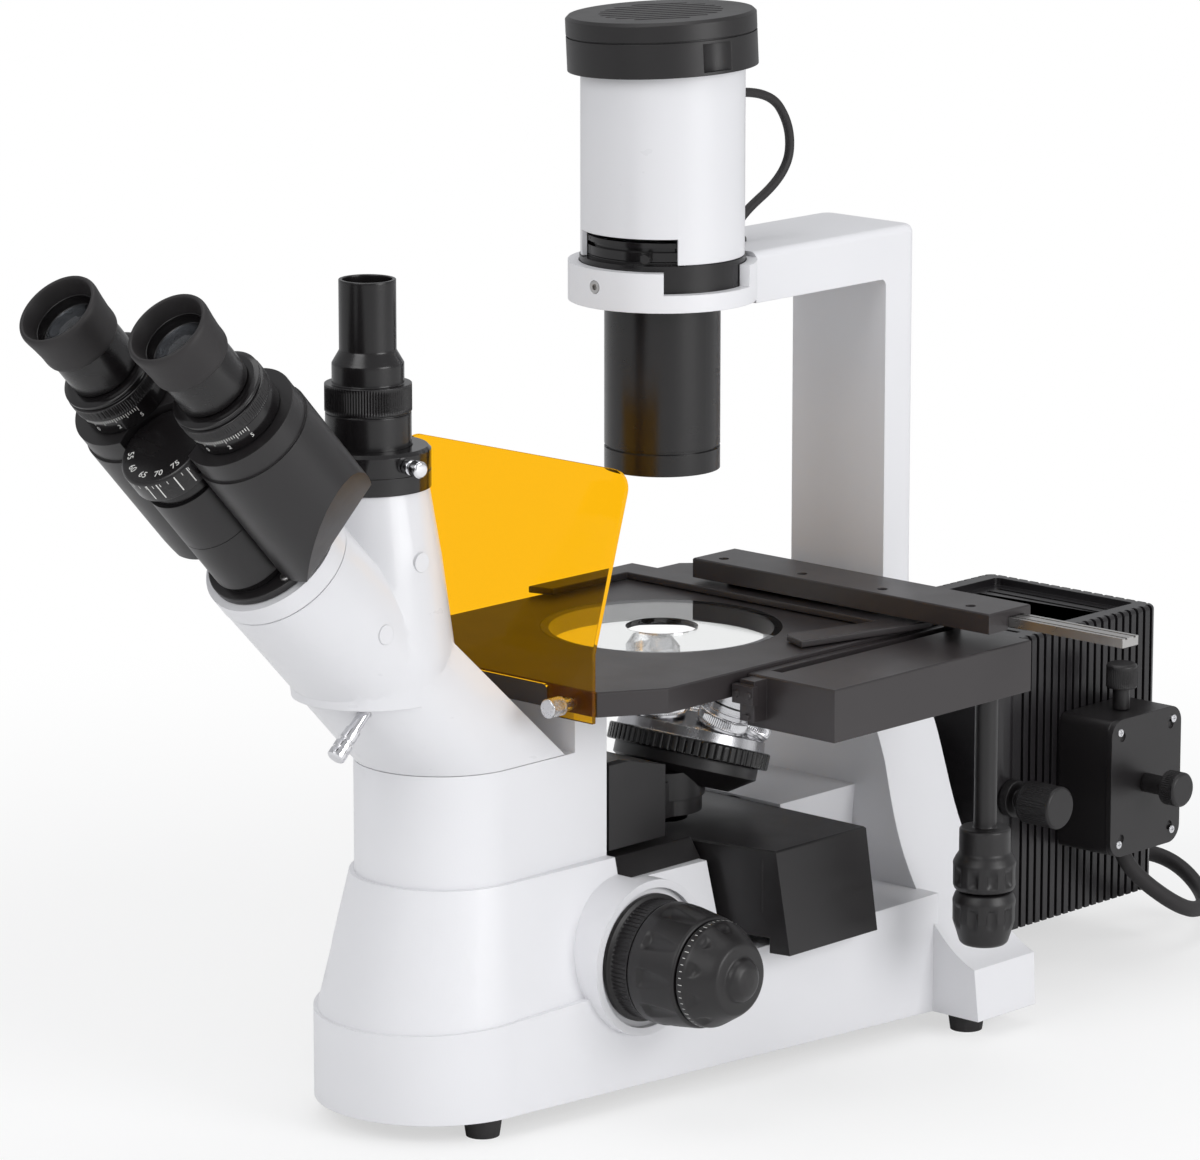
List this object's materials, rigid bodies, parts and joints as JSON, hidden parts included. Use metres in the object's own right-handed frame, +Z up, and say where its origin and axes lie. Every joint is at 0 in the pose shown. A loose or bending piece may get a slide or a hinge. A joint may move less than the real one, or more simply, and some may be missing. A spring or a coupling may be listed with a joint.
{
  "type": "inverted microscope",
  "caption": "Inverted microscope with slanted viewing head, camera port, stage with moving holder, lamp on an arm, orange shield and finned lamp house at the back.",
  "frame": {"origin": "middle of the bounding box without its cords, on the table under the feet", "axes": "+X to the user's right, +Y away from the user towards the lamp house, +Z up"},
  "size_m": [0.3386, 0.7421, 0.5143],
  "materials": {
    "white_paint": "gloss",
    "black_paint": "satin",
    "black_anodised": "satin",
    "black_plastic": "matte",
    "rubber_black": "matte",
    "clear_glass": "polished",
    "orange_acrylic": "gloss",
    "steel": "brushed",
    "chrome": "polished",
    "ceramic": "matte",
    "board_green": "matte"
  },
  "bodies": {
    "stand": {"base_casting": "white_paint", "bottom_plate": "steel", "feet": "rubber_black", "pillar_arm": "white_paint", "stand_screws": "steel", "stage_plate": "black_paint", "glass_insert": "clear_glass", "stage_extension": "black_paint", "shield": "orange_acrylic", "lamp_tube": "white_paint", "lamp_cap": "black_paint", "halogen_bulb": "clear_glass", "condenser_barrel": "black_anodised", "condenser_lenses": "clear_glass", "lamp_cable": "rubber_black", "cable_glands": "rubber_black", "head_housing": "white_paint", "hinge_shaft": "black_anodised", "photo_clamp": "black_anodised", "photo_tube": "black_anodised", "focus_guide": "steel", "relay_optics": "black_anodised", "filter_housing": "black_paint", "deck_cover": "black_paint", "lamp_house": "black_paint", "collector_tube": "black_anodised", "socket_box": "black_plastic", "burner": "ceramic", "burner_lead": "rubber_black", "power_inlet": "black_plastic", "power_board": "board_green"},
    "shield_screw_right": {"shield_screw_right": "chrome"},
    "shield_screw_left": {"shield_screw_left": "chrome"},
    "iris": {"iris_lever": "black_anodised"},
    "eye_right": {"prism_housing_right": "black_anodised", "eyepiece_right": "rubber_black"},
    "eye_left": {"prism_housing_left": "black_anodised", "eyepiece_left": "rubber_black"},
    "diopter_right": {"diopter_ring_right": "black_anodised"},
    "diopter_left": {"diopter_ring_left": "black_anodised"},
    "selector": {"path_selector": "chrome"},
    "nosepiece": {"nosepiece_carrier": "black_paint"},
    "turret": {"nosepiece_turret": "chrome", "objectives": "chrome"},
    "coarse": {"coarse_shaft": "steel", "coarse_knobs": "black_plastic"},
    "fine": {"fine_drive": "black_plastic"},
    "tension": {"tension_ring": "black_plastic"},
    "filters": {"filter_slider": "black_anodised"},
    "collector": {"collector_knob": "black_anodised"},
    "centring_top": {"centring_knob_top": "black_anodised"},
    "centring_side": {"centring_knob_side": "black_anodised"},
    "bar": {"x_bar": "black_paint"},
    "holder": {"specimen_holder": "black_paint", "x_rail": "steel"},
    "y_knob": {"y_control": "black_plastic"},
    "x_knob": {"x_control": "black_plastic"},
    "brightness": {"brightness_knob": "black_plastic"},
    "switch": {"power_switch": "black_plastic"},
    "clamp_screw": {"photo_clamp_screw": "chrome"}
  },
  "joints": [
    {"name": "shield_screw_right_turn", "type": "hinge", "parent": "stand", "child": "shield_screw_right", "pos_m": [0.01135, -0.1027, 0.204], "axis": [0, -1, 0], "range_deg": [-180, 180]},
    {"name": "shield_screw_left_turn", "type": "hinge", "parent": "stand", "child": "shield_screw_left", "pos_m": [-0.10665, -0.1027, 0.204], "axis": [0, -1, 0], "range_deg": [-180, 180]},
    {"name": "iris_turn", "type": "hinge", "parent": "stand", "child": "iris", "pos_m": [-0.04765, 0.0253, 0.399], "axis": [0, 0, 1], "range_deg": [-55, 18]},
    {"name": "eye_right_swing", "type": "hinge", "parent": "stand", "child": "eye_right", "pos_m": [-0.04765, -0.3057, 0.348], "axis": [0, -0.682, 0.7314], "range_deg": [-6, 17.5]},
    {"name": "eye_left_swing", "type": "hinge", "parent": "stand", "child": "eye_left", "pos_m": [-0.04765, -0.3057, 0.348], "axis": [0, -0.682, 0.7314], "range_deg": [-17.5, 6]},
    {"name": "diopter_right_turn", "type": "hinge", "parent": "eye_right", "child": "diopter_right", "pos_m": [-0.01215, -0.3013, 0.37261], "axis": [0, -0.682, 0.7314], "range_deg": [-90, 90]},
    {"name": "diopter_left_turn", "type": "hinge", "parent": "eye_left", "child": "diopter_left", "pos_m": [-0.08315, -0.3013, 0.37261], "axis": [0, -0.682, 0.7314], "range_deg": [-90, 90]},
    {"name": "selector_pull", "type": "slide", "parent": "stand", "child": "selector", "axis": [0, 0.7314, 0.682], "range_m": [0, 0.007]},
    {"name": "nosepiece_lift", "type": "slide", "parent": "stand", "child": "nosepiece", "axis": [0, 0, 1], "range_m": [-0.002, 0.007]},
    {"name": "turret_turn", "type": "hinge", "parent": "nosepiece", "child": "turret", "pos_m": [-0.04765, 0.0253, 0.086], "axis": [0, 0.309, 0.9511], "continuous": true},
    {"name": "coarse_turn", "type": "hinge", "parent": "stand", "child": "coarse", "pos_m": [0.04235, -0.0577, 0.073], "axis": [1, 0, 0], "range_deg": [-24, 72]},
    {"name": "fine_turn", "type": "hinge", "parent": "stand", "child": "fine", "pos_m": [0.07235, -0.0577, 0.073], "axis": [1, 0, 0], "range_deg": [-180, 180]},
    {"name": "tension_turn", "type": "hinge", "parent": "stand", "child": "tension", "pos_m": [0.02535, -0.0577, 0.073], "axis": [1, 0, 0], "range_deg": [-40, 40]},
    {"name": "filter_slide", "type": "slide", "parent": "stand", "child": "filters", "axis": [1, 0, 0], "range_m": [-0.026, 0.026]},
    {"name": "collector_turn", "type": "hinge", "parent": "stand", "child": "collector", "pos_m": [0.02235, 0.2253, 0.097], "axis": [1, 0, 0], "range_deg": [-60, 60]},
    {"name": "centring_top_turn", "type": "hinge", "parent": "stand", "child": "centring_top", "pos_m": [0.02735, 0.2943, 0.146], "axis": [0, 0, 1], "range_deg": [-180, 180]},
    {"name": "centring_side_turn", "type": "hinge", "parent": "stand", "child": "centring_side", "pos_m": [0.05635, 0.2943, 0.098], "axis": [1, 0, 0], "range_deg": [-180, 180]},
    {"name": "y_travel", "type": "slide", "parent": "stand", "child": "bar", "axis": [0, -1, 0], "range_m": [0, 0.078]},
    {"name": "x_travel", "type": "slide", "parent": "bar", "child": "holder", "axis": [1, 0, 0], "range_m": [-0.06, 0.06]},
    {"name": "y_knob_turn", "type": "hinge", "parent": "bar", "child": "y_knob", "pos_m": [0.08585, 0.1133, 0.1], "axis": [0, 0, 1], "range_deg": [0, 600]},
    {"name": "x_knob_turn", "type": "hinge", "parent": "bar", "child": "x_knob", "pos_m": [0.08585, 0.1133, 0.07], "axis": [0, 0, 1], "range_deg": [-460, 460]},
    {"name": "brightness_turn", "type": "hinge", "parent": "stand", "child": "brightness", "pos_m": [-0.10965, -0.0947, 0.034], "axis": [-1, 0, 0], "range_deg": [-135, 135]},
    {"name": "switch_tip", "type": "hinge", "parent": "stand", "child": "switch", "pos_m": [0.01435, 0.1723, 0.027], "axis": [1, 0, 0], "range_deg": [0, 8]},
    {"name": "clamp_screw_turn", "type": "hinge", "parent": "stand", "child": "clamp_screw", "pos_m": [-0.01894, -0.18013, 0.324], "axis": [0.9903, -0.139, 0], "range_deg": [-180, 180]}
  ],
  "couplings": [
    {"joint": "coarse_turn", "follows": "nosepiece_lift", "rad_per_m": 166.67},
    {"joint": "eye_left_swing", "follows": "eye_right_swing", "ratio": -1},
    {"joint": "y_knob_turn", "follows": "y_travel", "rad_per_m": 133.33},
    {"joint": "x_knob_turn", "follows": "x_travel", "rad_per_m": 133.33}
  ]
}
